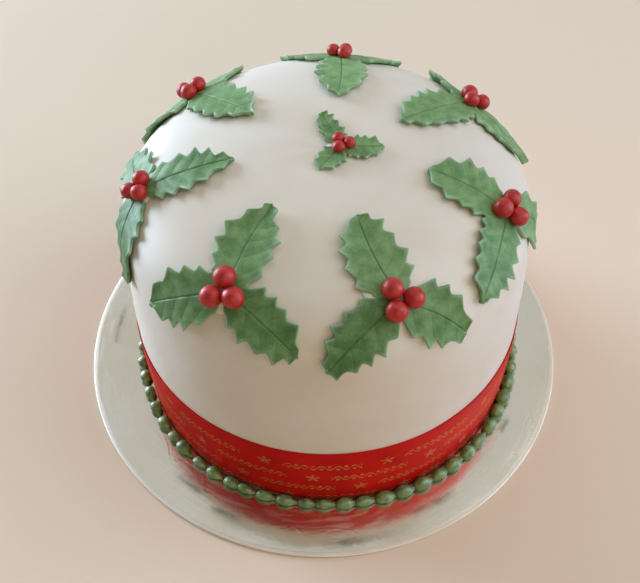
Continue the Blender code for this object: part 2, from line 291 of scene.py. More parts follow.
def foil_material():
    """Silver in two cloudy tones; streaks, smudges and the rolled rim make it duller."""
    mat, tree, shader = new_material("silver foil")
    place = own_place(tree)
    clouds = noise(tree, place, scale=28.0, detail=4.0)
    grain = noise(tree, place, scale=1100.0, detail=2.0)
    wrinkles = noise(tree, place, scale=120.0, detail=4.0, roughness=0.6)
    crease = foil_creases(tree, place)
    streak = foil_streaks(tree, place)
    ragged = spread(tree, noise(tree, place, scale=260.0, detail=4.0), 0.38, 0.6, 0.35, 0.9)
    dirt = calc(tree, "MULTIPLY", read_value(tree, "smudge"), ragged)
    warmth = spread(tree, clouds, 0.35, 0.7, 0.0, 1.0)
    silver = blend(tree, warmth, colour(*FOIL_SILVER), colour(*FOIL_WARM))
    rolled = read_value(tree, "rolled")
    rough = calc(tree, "MULTIPLY_ADD", streak, 0.09, spread(tree, clouds, 0.3, 0.7, 0.13, 0.22))
    metal = spread(tree, streak, 0.0, 1.0, 0.98, 0.84)
    folds = bumped(tree, wrinkles, depth=0.00018, strength=0.4)
    creased = bumped(tree, crease, depth=0.00005, strength=0.35, below=folds)
    set_inputs(tree, shader, {
        "Base Color": blend(tree, dirt, silver, colour(*FOIL_SMUDGE)),
        "Metallic": calc(tree, "MULTIPLY_ADD", rolled, -0.25, metal),
        "Roughness": calc(tree, "MULTIPLY_ADD", rolled, 0.4, rough),
        "Normal": bumped(tree, grain, depth=0.00002, strength=0.4, below=creased),
    })
    return mat


place_piece("silver_card", card_mesh(), foil_material(), "board", "cake_board")


# The iced cake: a round fruit cake under rolled white icing, smoothed by hand, so that
# its side bulges a little, its top is domed, and the surface is never quite even.

CAKE_LOW, CAKE_HIGH = (np.array(corner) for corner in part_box("iced_cake"))
CAKE_MIDDLE = np.array([*(CAKE_LOW[:2] + CAKE_HIGH[:2]) / 2, CAKE_LOW[2]])
CAKE_HEIGHT = CAKE_HIGH[2] - CAKE_LOW[2]
WIDEST_RADIUS = (CAKE_HIGH[0] - CAKE_LOW[0]) / 2
WIDEST_HEIGHT = 0.036
SIDE_LEAN = 0.0024
DOME_REACH = 0.062
DOME_DROP = 0.027
SHOULDER_HEIGHT = CAKE_HEIGHT - DOME_DROP
FLAT_RADIUS = WIDEST_RADIUS - SIDE_LEAN - DOME_REACH
FOOT_BEND = 0.0012
RIBBON_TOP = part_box("ribbon")[1][2] - CAKE_LOW[2]
ICING_ROUND = 288
UNDER_ROWS = 6
FOOT_ROWS = 5
SIDE_ROWS = 70
DOME_ROWS = 80
FLAT_ROWS = 14
ICING_POLE_RING = 0.0008
UNEVEN_SEED = 4
UNEVEN_WAVES = 14
UNEVEN_DEPTH = 0.00011
UNEVEN_ABOVE_RIBBON = 0.01
UNEVEN_OFF_MIDDLE = 0.012
ICING_WHITE = (228, 225, 217)
ICING_WARM = (223, 216, 203)


def side_radius(height):
    """Radius of the side: a shallow parabola, widest a third of the way up."""
    away = (height - WIDEST_HEIGHT) / (SHOULDER_HEIGHT - WIDEST_HEIGHT)
    return WIDEST_RADIUS - SIDE_LEAN * np.clip(away, -1.0, 1.0) ** 2


def unevenness(angle, run):
    """A smooth random height: a sum of waves round the cake and along its profile."""
    rng = np.random.default_rng(UNEVEN_SEED)
    total = np.zeros(np.broadcast(angle, run).shape)
    for _ in range(UNEVEN_WAVES):
        turns = rng.integers(1, 9)
        pitch = rng.uniform(60, 260)
        shift = rng.uniform(0, 2 * math.pi, 2)
        total = total + np.sin(turns * angle + shift[0]) * np.sin(pitch * run + shift[1])
    return UNEVEN_DEPTH * total / math.sqrt(UNEVEN_WAVES)


def icing_mesh():
    """A profile turned round the cake's axis: foot, bulging side, quarter-ellipse dome.

    Above the ribbon, points then move along the surface's normal by a tenth of a
    millimetre or so.
    """
    foot_edge = side_radius(0.0) - FOOT_BEND
    under = np.linspace(POLE_RING, foot_edge, UNDER_ROWS)[:-1]
    bend = np.linspace(0, math.pi / 2, FOOT_ROWS)[:-1]
    foot_radius = foot_edge + FOOT_BEND * np.sin(bend)
    foot_height = FOOT_BEND - FOOT_BEND * np.cos(bend)
    side = np.linspace(0.0, SHOULDER_HEIGHT, SIDE_ROWS)
    side = side[side > FOOT_BEND]
    turn = np.linspace(0, math.pi / 2, DOME_ROWS)[1:]
    dome_radius = FLAT_RADIUS + DOME_REACH * np.cos(turn)
    dome_height = SHOULDER_HEIGHT + DOME_DROP * np.sin(turn)
    flat = np.linspace(FLAT_RADIUS, ICING_POLE_RING, FLAT_ROWS)[1:]
    radius = np.concatenate([under, foot_radius, side_radius(side), dome_radius, flat])
    height = np.concatenate([under * 0, foot_height, side, dome_height, flat * 0 + CAKE_HEIGHT])
    run = np.concatenate([[0.0], np.cumsum(np.hypot(np.diff(radius), np.diff(height)))])
    angle = np.linspace(0, 2 * math.pi, ICING_ROUND, endpoint=False)
    above_ribbon = np.clip((height - RIBBON_TOP) / UNEVEN_ABOVE_RIBBON, 0, 1)
    off_middle = np.clip(radius / UNEVEN_OFF_MIDDLE, 0, 1)
    uneven = (above_ribbon * off_middle)[:, None] * unevenness(angle[None], run[:, None])
    rings = turned_rings(radius, height, ICING_ROUND)
    outward = np.stack([np.cos(angle), np.sin(angle), angle * 0], axis=-1)
    steep = np.clip((height - SHOULDER_HEIGHT) / DOME_DROP, 0, 1)[:, None, None]
    way = outward[None] * np.sqrt(1 - steep ** 2) + np.array([0.0, 0.0, 1.0]) * steep
    rings[0] = rings[0] + way * uneven[..., None] + CAKE_MIDDLE
    start = CAKE_MIDDLE[None]
    end = CAKE_MIDDLE[None] + np.array([0.0, 0.0, CAKE_HEIGHT])
    return ringed_mesh("white_icing", rings, start, end)


def sugar_grain_group():
    """Sugar's fine finish, for every sugar piece: a soft mottling, and a grain to feel."""
    group = bpy.data.node_groups.new("sugar grain", "ShaderNodeTree")
    for name in ("Patch size", "Grain size", "Grain depth"):
        group.interface.new_socket(name, in_out="INPUT", socket_type="NodeSocketFloat")
    for name in ("Mottling", "Dust"):
        group.interface.new_socket(name, in_out="OUTPUT", socket_type="NodeSocketFloat")
    group.interface.new_socket("Normal", in_out="OUTPUT", socket_type="NodeSocketVector")
    given = add_node(group, "NodeGroupInput").outputs
    place = own_place(group)
    patches = noise(group, place, calc(group, "DIVIDE", 1.0, given["Patch size"]))
    grain = noise(group, place, calc(group, "DIVIDE", 1.0, given["Grain size"]), roughness=0.6)
    add_node(group, "NodeGroupOutput", {
        "Mottling": spread(group, patches, 0.32, 0.68, 0.0, 1.0),
        "Dust": spread(group, grain, 0.52, 0.75, 0.0, 1.0),
        "Normal": bumped(group, grain, given["Grain depth"]),
    })
    return group


SUGAR_GRAIN = sugar_grain_group()


def sugar_grain(tree, patch_size, grain_size, grain_depth):
    """The sugar grain group placed in a material, with its own sizes in metres."""
    sizes = {"Patch size": patch_size, "Grain size": grain_size, "Grain depth": grain_depth}
    return add_node(tree, "ShaderNodeGroup", sizes, node_tree=SUGAR_GRAIN).outputs


def sugar_finish(tree, shader, sugar, base, smooth, rough):
    """Gives a shader its colour, its grain, and a roughness that follows the mottling."""
    roughness = spread(tree, sugar["Mottling"], 0.0, 1.0, smooth, rough)
    set_inputs(tree, shader, {"Base Color": base, "Roughness": roughness, "Normal": sugar["Normal"]})


def let_light_in(shader, weight, depth, shares):
    """Lets some light into a piece, to a depth in metres with red, green and blue shares."""
    shader.inputs["Subsurface Weight"].default_value = weight
    shader.inputs["Subsurface Scale"].default_value = depth
    shader.inputs["Subsurface Radius"].default_value = shares


def icing_material(name, white, warm):
    """Soft white sugar, which light goes into a little, with wide warmer patches."""
    mat, tree, shader = new_material(name)
    sugar = sugar_grain(tree, patch_size=0.03, grain_size=0.0009, grain_depth=0.00004)
    mottled = blend(tree, sugar["Mottling"], colour(*white), colour(*warm))
    sugar_finish(tree, shader, sugar, mottled, smooth=0.42, rough=0.55)
    let_light_in(shader, weight=0.25, depth=0.002, shares=(1.0, 0.7, 0.5))
    return mat


ROLLED_ICING = icing_material("rolled white icing", ICING_WHITE, ICING_WARM)
place_piece("white_icing", icing_mesh(), ROLLED_ICING, "icing", "iced_cake")


# The ribbon: a red satin band, a little under 40 mm wide, drawn tight round the foot of
# the cake, with its end lapped over its start at the back. Small gold stars and sprays
# are printed on it in rows.

RIBBON_LOW, RIBBON_HIGH = (np.array(corner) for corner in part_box("ribbon"))
RIBBON_FOOT = RIBBON_LOW[2] - CAKE_MIDDLE[2]
RIBBON_WIDTH = RIBBON_HIGH[2] - RIBBON_LOW[2]
RIBBON_THICKNESS = 0.0004
RIBBON_GAP = 0.0001
RIBBON_START = math.radians(83)
RIBBON_LAP = math.radians(14)
RIBBON_RISE = math.radians(7)
RIBBON_INSET = 0.00025
RIBBON_DRIFT = 0.0001
RIBBON_SWELL = 0.00012
RIBBON_SECTIONS = 420
RIBBON_ROWS = 15
SHARP_EDGE = math.radians(50)
RIBBON_RED = (206, 26, 18)
RIBBON_DEEP = (190, 18, 15)
PRINT_GOLD = (190, 128, 76)
SATIN_TINT = (1.0, 0.3, 0.22, 1.0)
THREAD_STRETCH = 0.04
PRINT_ROW = 0.0085
PRINT_FOOT = 0.00175
PRINT_TOP = 0.0325
PRINT_CELL = 0.047
PRINT_STAGGER = 0.0185
STAR_PLACE = 0.0045
STAR_POINTS = 5
STAR_REACH = 0.0029
STAR_HOLLOW = 0.36
SPRAY_START = 0.0115
SPRAY_END = 0.0415
SPRAY_PITCH = 0.0062
SPRAY_REACH = 0.0014
SPRAY_LINE = 0.00042
SPRAY_DOT = 0.0008
SPRAY_DOT_HEIGHT = 0.00112


def ribbon_band():
    """A thin flat section carried round the side of the cake, and each point's place on it.

    Down the outer face and up the inner one, each point keeps the side's radius at its
    own height. Both edges wander by a tenth of a millimetre or two. Where the end laps
    over the start, the band has climbed by its own thickness along an S curve.
    """
    turned = np.linspace(0, 2 * math.pi + RIBBON_LAP, RIBBON_SECTIONS)[:, None]
    climb = np.clip((turned - 2 * math.pi + RIBBON_RISE) / RIBBON_RISE, 0, 1)
    layer = (RIBBON_THICKNESS + RIBBON_GAP) * climb ** 2 * (3 - 2 * climb)
    down = np.linspace(1, 0, RIBBON_ROWS)
    share = np.concatenate([down, down[::-1]])[None]
    outer = np.concatenate([np.ones(RIBBON_ROWS), np.zeros(RIBBON_ROWS)])[None]
    drift = RIBBON_DRIFT * (1.2 * np.sin(5 * turned) + 0.8 * np.sin(11 * turned + 2))
    height = RIBBON_FOOT + RIBBON_INSET + (RIBBON_WIDTH - 2 * RIBBON_INSET) * share + drift
    swell = 1 + np.sin(7 * turned + 1) * np.sin(3 * turned)
    swell = RIBBON_SWELL * np.sin(math.pi * share) * swell
    radius = side_radius(height) + RIBBON_GAP + layer + swell + RIBBON_THICKNESS * outer
    angle = RIBBON_START + turned
    rings = np.stack([radius * np.cos(angle), radius * np.sin(angle), height + 0 * angle], axis=-1)
    along = (turned + 0 * share) * WIDEST_RADIUS
    return rings + CAKE_MIDDLE, along, (share + 0 * turned) * RIBBON_WIDTH


def ribbon_mesh():
    """The band with both ends closed, which keeps each point's way along and across it."""
    rings, along, across = ribbon_band()
    start = rings[0].mean(axis=0)[None]
    end = rings[-1].mean(axis=0)[None]
    mesh = ringed_mesh("satin_ribbon", rings[None], start, end)
    store_value(mesh, "along", np.append(along.ravel(), [along[0, 0], along[-1, 0]]))
    store_value(mesh, "across", np.append(across.ravel(), [RIBBON_WIDTH / 2] * 2))
    mesh.set_sharp_from_angle(angle=SHARP_EDGE)
    return mesh


def print_place(tree, along, across):
    """A point's place in its cell of the print: x along it, and y up from the row's middle."""
    height = calc(tree, "ADD", across, PRINT_FOOT)
    row = calc(tree, "FLOOR", calc(tree, "DIVIDE", height, PRINT_ROW))
    row_middle = calc(tree, "MULTIPLY", calc(tree, "ADD", row, 0.5), PRINT_ROW)
    moved = calc(tree, "ADD", along, calc(tree, "MULTIPLY", row, PRINT_STAGGER))
    share = calc(tree, "FRACT", calc(tree, "DIVIDE", moved, PRINT_CELL))
    return calc(tree, "MULTIPLY", share, PRINT_CELL), calc(tree, "SUBTRACT", height, row_middle)


def within(tree, x, y, reach):
    """1 where the root of x squared plus y squared is less than reach, 0 elsewhere."""
    squares = calc(tree, "ADD", calc(tree, "POWER", x, 2.0), calc(tree, "POWER", y, 2.0))
    return calc(tree, "LESS_THAN", calc(tree, "SQRT", squares), reach)


def gold_star(tree, x, y):
    """A star, whose reach swings with the cosine of the angle times its points."""
    off_middle = calc(tree, "SUBTRACT", x, STAR_PLACE)
    turned = calc(tree, "MULTIPLY", calc(tree, "ARCTAN2", off_middle, y), STAR_POINTS)
    swing = calc(tree, "COSINE", turned)
    reach = calc(tree, "MULTIPLY_ADD", swing, STAR_HOLLOW * STAR_REACH, (1 - STAR_HOLLOW) * STAR_REACH)
    return within(tree, off_middle, y, reach)


def gold_spray(tree, x, y):
    """A short length of a thin sine wave, with a dot in each of its bends."""
    wave = calc(tree, "SINE", calc(tree, "MULTIPLY", x, 2 * math.pi / SPRAY_PITCH))
    off_line = calc(tree, "ABSOLUTE", calc(tree, "MULTIPLY_ADD", wave, -SPRAY_REACH, y))
    line = calc(tree, "LESS_THAN", off_line, SPRAY_LINE)
    beat = calc(tree, "FRACT", calc(tree, "DIVIDE", x, SPRAY_PITCH / 2))
    dot_x = calc(tree, "MULTIPLY", calc(tree, "SUBTRACT", beat, 0.5), SPRAY_PITCH / 2)
    dot_y = calc(tree, "MULTIPLY_ADD", wave, SPRAY_DOT_HEIGHT, y)
    drawn = calc(tree, "MAXIMUM", line, within(tree, dot_x, dot_y, SPRAY_DOT))
    begun = calc(tree, "GREATER_THAN", x, SPRAY_START)
    not_over = calc(tree, "LESS_THAN", x, SPRAY_END)
    return calc(tree, "MULTIPLY", drawn, calc(tree, "MULTIPLY", begun, not_over))


def gold_print(tree, along, across):
    """Where the gold lies: in staggered rows, a star and then a wavy spray."""
    x, y = print_place(tree, along, across)
    motifs = calc(tree, "MAXIMUM", gold_star(tree, x, y), gold_spray(tree, x, y))
    return calc(tree, "MULTIPLY", motifs, calc(tree, "LESS_THAN", across, PRINT_TOP))


def ribbon_material():
    """Red satin with fine threads along the band, under a worn gold print."""
    mat, tree, shader = new_material("printed red satin")
    along = read_value(tree, "along")
    across = read_value(tree, "across")
    place = own_place(tree)
    drawn_out = calc(tree, "MULTIPLY", along, THREAD_STRETCH)
    lengthways = add_node(tree, "ShaderNodeCombineXYZ", {0: drawn_out, 1: across}).outputs[0]
    threads = noise(tree, lengthways, scale=5200.0, detail=1.0)
    patches = noise(tree, place, scale=60.0, detail=2.0)
    worn = spread(tree, noise(tree, place, scale=700.0, detail=2.0), 0.38, 0.5, 0.25, 1.0)
    gold = calc(tree, "MULTIPLY", gold_print(tree, along, across), worn)
    depth = spread(tree, patches, 0.35, 0.65, 0.0, 1.0)
    red = blend(tree, depth, colour(*RIBBON_RED), colour(*RIBBON_DEEP))
    set_inputs(tree, shader, {
        "Base Color": blend(tree, gold, red, colour(*PRINT_GOLD)),
        "Metallic": spread(tree, gold, 0.0, 1.0, 0.25, 0.55),
        "Roughness": spread(tree, threads, 0.3, 0.7, 0.38, 0.5),
        "Normal": bumped(tree, threads, depth=0.00003, strength=0.6),
        "Specular IOR Level": 0.05,
        "Specular Tint": SATIN_TINT,
    })
    return mat


ribbon = place_piece("satin_ribbon", ribbon_mesh(), ribbon_material(), "ribbon", "ribbon")


# The piped border: moss green royal icing, pressed out bead by bead against the ribbon.
# Each bead is a fat round head that is drawn out to a tail under the next one's head.

BEADS = 63
BEAD_RING = 0.0809
BEAD_WIDTH = 0.0053
BEAD_HEIGHT = 0.0052
BEAD_WIDEST = 0.36
BEAD_TAIL = 0.75
BEAD_SLIMMING = 0.2
BEAD_TUCK = 0.0027
BEAD_LUMP = 0.00013
BEAD_RIDGE = 0.00006
BEAD_SKEW = 0.0003
BEAD_WANDER = 0.0002
BEAD_FOOT = 0.00005
BEAD_SECTIONS = 32
BEAD_ROUND = 28
BEAD_SEED = 8
BEAD_GREEN = (122, 158, 92)
BEAD_DARK = (66, 96, 48)


def bead_size(share):
    """A bead's size along it: half an ellipse up to the widest place, then a thinner tail.

    Past the widest place the ellipse and the tail run together, as the fourth root of
    the sum of their fourth powers.
    """
    past = (share - BEAD_WIDEST) / BEAD_WIDEST
    head = np.sqrt(np.clip(1 - past ** 2, 0, 1))
    to_end = np.clip((share - BEAD_WIDEST) / (1 - BEAD_WIDEST), 0, 1)
    tail = BEAD_TAIL * np.cos(to_end * math.pi / 2) ** 0.7
    both = (head ** 4 + tail ** 4) ** 0.25 / (1 + BEAD_TAIL ** 4) ** 0.25
    return np.where(share < BEAD_WIDEST, head, both)


def bead_border_mesh():
    """Sections carried along short arcs of the border, one arc for each bead.

    A section is round, its foot cut off by the card. The beads are slimmer at the front
    and drawn out further at one side, and each differs a little by a seeded draw.
    """
    rng = np.random.default_rng(BEAD_SEED)
    share = (0.5 - 0.5 * np.cos(np.linspace(0, math.pi, BEAD_SECTIONS)))[None, 1:-1, None]
    turn = np.linspace(0, 2 * math.pi, BEAD_ROUND, endpoint=False)[None, None]
    place, length, size, width, height, lump, ridge, skew = rng.uniform(-1, 1, (8, BEADS, 1, 1))
    pitch = 2 * math.pi / BEADS
    middle = pitch * (np.arange(BEADS)[:, None, None] + 0.14 * place)
    drawn = 1.16 + 0.15 * np.cos(middle + math.radians(35)) + 0.07 * length
    off_widest = share - BEAD_WIDEST
    angle = middle + pitch * drawn * off_widest
    slim = 1 - BEAD_SLIMMING * np.clip(-np.sin(middle + math.radians(20)), 0, 1) ** 2
    fat = bead_size(share) * slim * (1 + 0.1 * size)
    across = np.sin(turn) * fat * BEAD_WIDTH / 2 * (1 + 0.05 * width)
    lift = 0.5 * BEAD_HEIGHT * slim * (0.80 + 0.05 * height) * (0.35 + 0.65 * fat)
    up = lift + np.cos(turn) * fat * BEAD_HEIGHT / 2
    lumps = BEAD_LUMP * np.sin(3 * turn + 9 * angle + 6 * lump)
    ridges = BEAD_RIDGE * np.cos(8 * turn + 3 * ridge) * np.cos(middle)
    line = BEAD_RING - BEAD_TUCK * (1 - slim) + BEAD_WANDER * np.sin(5 * middle)
    radius = line + across + (lumps + ridges) * fat + BEAD_SKEW * skew * off_widest
    x = radius * np.cos(angle) + CAKE_MIDDLE[0]
    y = radius * np.sin(angle) + CAKE_MIDDLE[1]
    z = np.maximum(up, BEAD_FOOT) + CAKE_MIDDLE[2]
    rings = np.stack([x, y, z], axis=-1)
    ends = rings.mean(axis=2)
    return ringed_mesh("piped_beads", rings, ends[:, 0], ends[:, -1])


def bead_material():
    """Mottled green icing that has dried glossy."""
    mat, tree, shader = new_material("moss green piped icing")
    sugar = sugar_grain(tree, patch_size=0.0026, grain_size=0.0007, grain_depth=0.00008)
    green = blend(tree, sugar["Mottling"], colour(*BEAD_GREEN), colour(*BEAD_DARK))
    sugar_finish(tree, shader, sugar, green, smooth=0.34, rough=0.48)
    shader.inputs["Specular IOR Level"].default_value = 1.0
    return mat


place_piece("piped_beads", bead_border_mesh(), bead_material(), "border", "piped_border")


# The holly leaves: cut from thin green sugar paste, marked with veins, and dried with their
# edges curling up, so that the spikes stand off the icing. Their rims are pale, partly with
# a dusting of sugar and partly with a painted highlight where the raised edges catch the light.

# Each sprig's name, azimuth and distance from the cake's axis, each leaf's tone, which is
# painted shade: most on the front and left leaves, little or none on the back ones, where a
# tone below 0 paints them lighter. Then which way and how far the icing dab has squeezed
# out. Then for each leaf its heading, reach, half width, sideways bend, and how far its right
# and left edges curl up. Angles are in degrees and lengths in millimetres.
SPRIGS = [
    ("front_left", -121, 64, (0.7, 0.2, 0.95), (-14, 8.4), [
        (-62, 31.5, 8.6, 0, 1.0, 1.2), (-177, 34, 9.2, 1, 1.2, 1.2), (73, 32, 7.8, 0.6, 1.0, 1.0)]),
    ("front_right", -69, 63.6, (1.6, 0.2, 0.75), (-122, 11.5), [
        (-63, 33, 7.8, -0.8, 0.8, 1.0), (-176, 32.5, 9.3, 1.4, 1.2, 1.2), (51, 26.5, 8.8, 1, 1.0, 1.0)]),
    ("right", -18, 65.2, (0.5, 0.1, 0.3), (-130, 7), [
        (-84, 37, 7.6, 0, 1.5, 1.2), (177, 31, 9.4, -0.8, 1.2, 1.2), (32, 30, 8, 0, 0.4, 0.4)]),
    ("back_right", 33, 66.2, (0.1, -0.1, 0.1), (-4, 7.5), [
        (-73, 31, 8.4, -1, 0.3, 1.5), (-176, 38.5, 8.8, 0.3, 1.0, 0.6), (66, 34.5, 8.2, 0, 2.8, 2.2)]),
    ("back", 84, 62, (0.0, -0.3, 0.0), (4, 8.5), [
        (-60, 27, 8, 0, 0.2, 0.2), (-177, 35.5, 8.4, 0.8, 0.4, 0.4), (66, 27, 8, 0, 0.2, 0.2)]),
    ("back_left", 139.5, 66.5, (0.1, 0.0, 0.1), (-10, 7.5), [
        (-76, 30, 8.2, 0, 0.2, 2.0), (-184, 37, 9, -0.4, 0.6, 0.6), (52, 28.5, 8, 0, 1.0, 1.0)]),
    ("left", 187, 66, (1.2, 0.7, 1.9), (-5, 7), [
        (-75, 26, 7.4, 0, 0.3, 0.6), (180, 36, 7.8, 0, 0.6, 0.6), (37, 35, 9, 2, 0.3, 0.3)]),
    ("middle", 7, 5.8, (0.3, 0.6, 0.2), (170, 6), [
        (-134, 14, 4.3, 0, 0.3, 0.3), (106, 19, 3.5, 0, 0.8, 0.8), (-9, 15, 5, 0, 0.2, 0.2)]),
]
SMALL_SCALE = 0.58
LEAF_START = 0.0012
LEAF_INSET = 0.0003
LEAF_TIP = (0.09, 0.19)
LEAF_THICKNESS = 0.0016
LEAF_GAP = 0.0001
LEAF_ROWS = 140
LEAF_COLUMNS = 49
LEAF_SEED = 21
SPIKE_LENGTH = 0.0025
SPIKE_PITCH = 0.0058
SPIKE_PHASE = 0.24
SPIKE_LIFT = 0.0010
TIP_LIFT = 0.0008
HELD_SHARE = 0.45
VEIN_HALF_WIDTH = 0.0003
VEIN_DEPTH = 0.00026
SIDE_VEIN = 0.36
PUFF_HEIGHT = 0.00012
LEAF_GREEN = (130, 171, 116)
LEAF_DARK_AND_SHADE = (72, 114, 64)
LEAF_VEIN_SHADE = (58, 94, 48)
LEAF_DUST_AND_HIGHLIGHT = (182, 216, 192)
ICING_STEPS = 5
SETTLE_STEPS = 8
WALK_STEPS = 24
TINY = 1e-9


def icing_level(points):
    """An elliptic distance that is 1 on the icing, and its slope at each point.

    The dome is a quarter ellipse carried round a flat middle, and the side is nearly
    upright, so one ellipse, moved out to the side's own radius, serves for both.
    """
    x, y, z = np.moveaxis(points, -1, 0)
    radius = np.maximum(np.hypot(x, y), TINY)
    across = np.maximum(radius - (side_radius(z) - DOME_REACH), 0.0) / DOME_REACH
    above = np.maximum(z - SHOULDER_HEIGHT, 0.0) / DOME_DROP
    level = np.maximum(np.hypot(across, above), TINY)
    outward = across / DOME_REACH / radius
    slope = np.stack([outward * x, outward * y, above / DOME_DROP], axis=-1)
    return level, slope / level[..., None]


def to_icing(points):
    """Moves points, taken from the foot of the cake's axis, straight to the icing.

    Each step goes along the slope as far as it says that the level is off. The icing's
    normals there come with the points.
    """
    for _ in range(ICING_STEPS):
        level, slope = icing_level(points)
        steep = (slope ** 2).sum(axis=-1)
        points = points - ((level - 1) / steep)[..., None] * slope
    _, slope = icing_level(points)
    return points, slope / np.sqrt((slope ** 2).sum(axis=-1))[..., None]


def sprig_scale(sprig_name):
    """The middle sprig is smaller than the others."""
    return SMALL_SCALE if sprig_name == "middle" else 1.0


def sprig_axes(azimuth, distance):
    """The middle of a sprig on the icing, with its outward, sideways and normal axes."""
    angle = math.radians(azimuth)
    middle = np.array([distance * math.cos(angle), distance * math.sin(angle), CAKE_HEIGHT])
    for _ in range(SETTLE_STEPS):
        middle, _ = to_icing(middle)
        middle[:2] *= distance / np.hypot(*middle[:2])
    middle, normal = to_icing(middle)
    sideways = np.array([-math.sin(angle), math.cos(angle), 0.0])
    return middle, np.cross(sideways, normal), sideways, normal


def laid_on_icing(axes, flat):
    """Walks flat points, given in the sprig's own plane, to their place on the icing.

    Each point keeps its heading and its distance from the sprig's middle, in short
    straight steps that are turned back onto the icing.
    """
    middle, outward, sideways, _ = axes
    distance = np.maximum(np.linalg.norm(flat, axis=-1), TINY)[..., None]
    way = (flat[..., :1] * outward + flat[..., 1:] * sideways) / distance
    points = middle + way * 0
    for _ in range(WALK_STEPS):
        points, normals = to_icing(points + way * distance / WALK_STEPS)
        way = way - (way * normals).sum(axis=-1, keepdims=True) * normals
        way = way / np.linalg.norm(way, axis=-1, keepdims=True)
    return points, normals


def leaf_outline(share, phase, half_width, pitch, tip):
    """Half width of a leaf between its spikes and how much of a spike there is, along it.

    A blunt oval that ends in a point, and scallops that meet in blunt spikes, five or
    six on each side.
    """
    oval = half_width * np.sin(math.pi * share ** 0.75) ** 0.55
    point = 0.46 * half_width * ((1 - share) / tip) ** 1.1
    beat = share / pitch - phase
    off_spike = 2 * np.abs(beat - np.round(beat))
    spike = (1.06 - np.hypot(off_spike, 0.12)) ** 1.6
    spike = spike * np.clip((share - 0.04) / 0.06, 0, 1) * np.clip((0.97 - share) / 0.04, 0, 1)
    return np.minimum(oval, point), spike


def leaf_veins(share, across, length, phase, pitch):
    """How deep the veins lie, from 0 to 1, and how the paste puffs up between them.

    Side veins leave the midrib at a slant that grows with the square of the way out,
    and each ends in a spike.
    """
    midrib = np.exp(-(across / VEIN_HALF_WIDTH) ** 2) * np.clip((0.97 - share) / 0.1, 0, 1)
    slant = 13 * np.abs(across) + 900 * across ** 2
    beat = (share - slant) / pitch - phase + 0.5
    off_vein = np.abs(beat - np.round(beat)) * pitch * length
    off_midrib = np.clip((np.abs(across) - 0.0002) / 0.0008, 0, 1)
    side_veins = SIDE_VEIN * np.exp(-(off_vein / VEIN_HALF_WIDTH) ** 2) * off_midrib
    puff = 0.5 - 0.5 * np.cos(2 * math.pi * beat)
    return np.maximum(midrib, side_veins), puff


def turned_flat(x, y, heading):
    """Flat points turned by a heading in degrees."""
    angle = math.radians(heading)
    turned_x = x * math.cos(angle) - y * math.sin(angle)
    turned_y = x * math.sin(angle) + y * math.cos(angle)
    return np.stack([turned_x, turned_y], axis=-1)


def leaf_lift(share, side, spike, curls, scale, rng):
    """How far a leaf rises off the icing, from nothing at its foot.

    An edge's curl grows with the square of the way out to it, and waves along the leaf.
    Spikes lift by the fourth power of that way, and the tip by the fourth power of share.
    """
    right_curl, left_curl = curls
    edge_curl = np.where(side > 0, left_curl, right_curl) * MM
    wave = 0.8 + 0.3 * np.sin(2.2 * math.pi * share + rng.uniform(0, 6) + 1.2 * side)
    curl = edge_curl * side ** 2 * wave + SPIKE_LIFT * scale * spike * np.abs(side) ** 4
    free = np.clip(share / HELD_SHARE, 0, 1) ** 1.3
    return curl * free + TIP_LIFT * scale * rng.uniform(-0.1, 1) * share ** 4


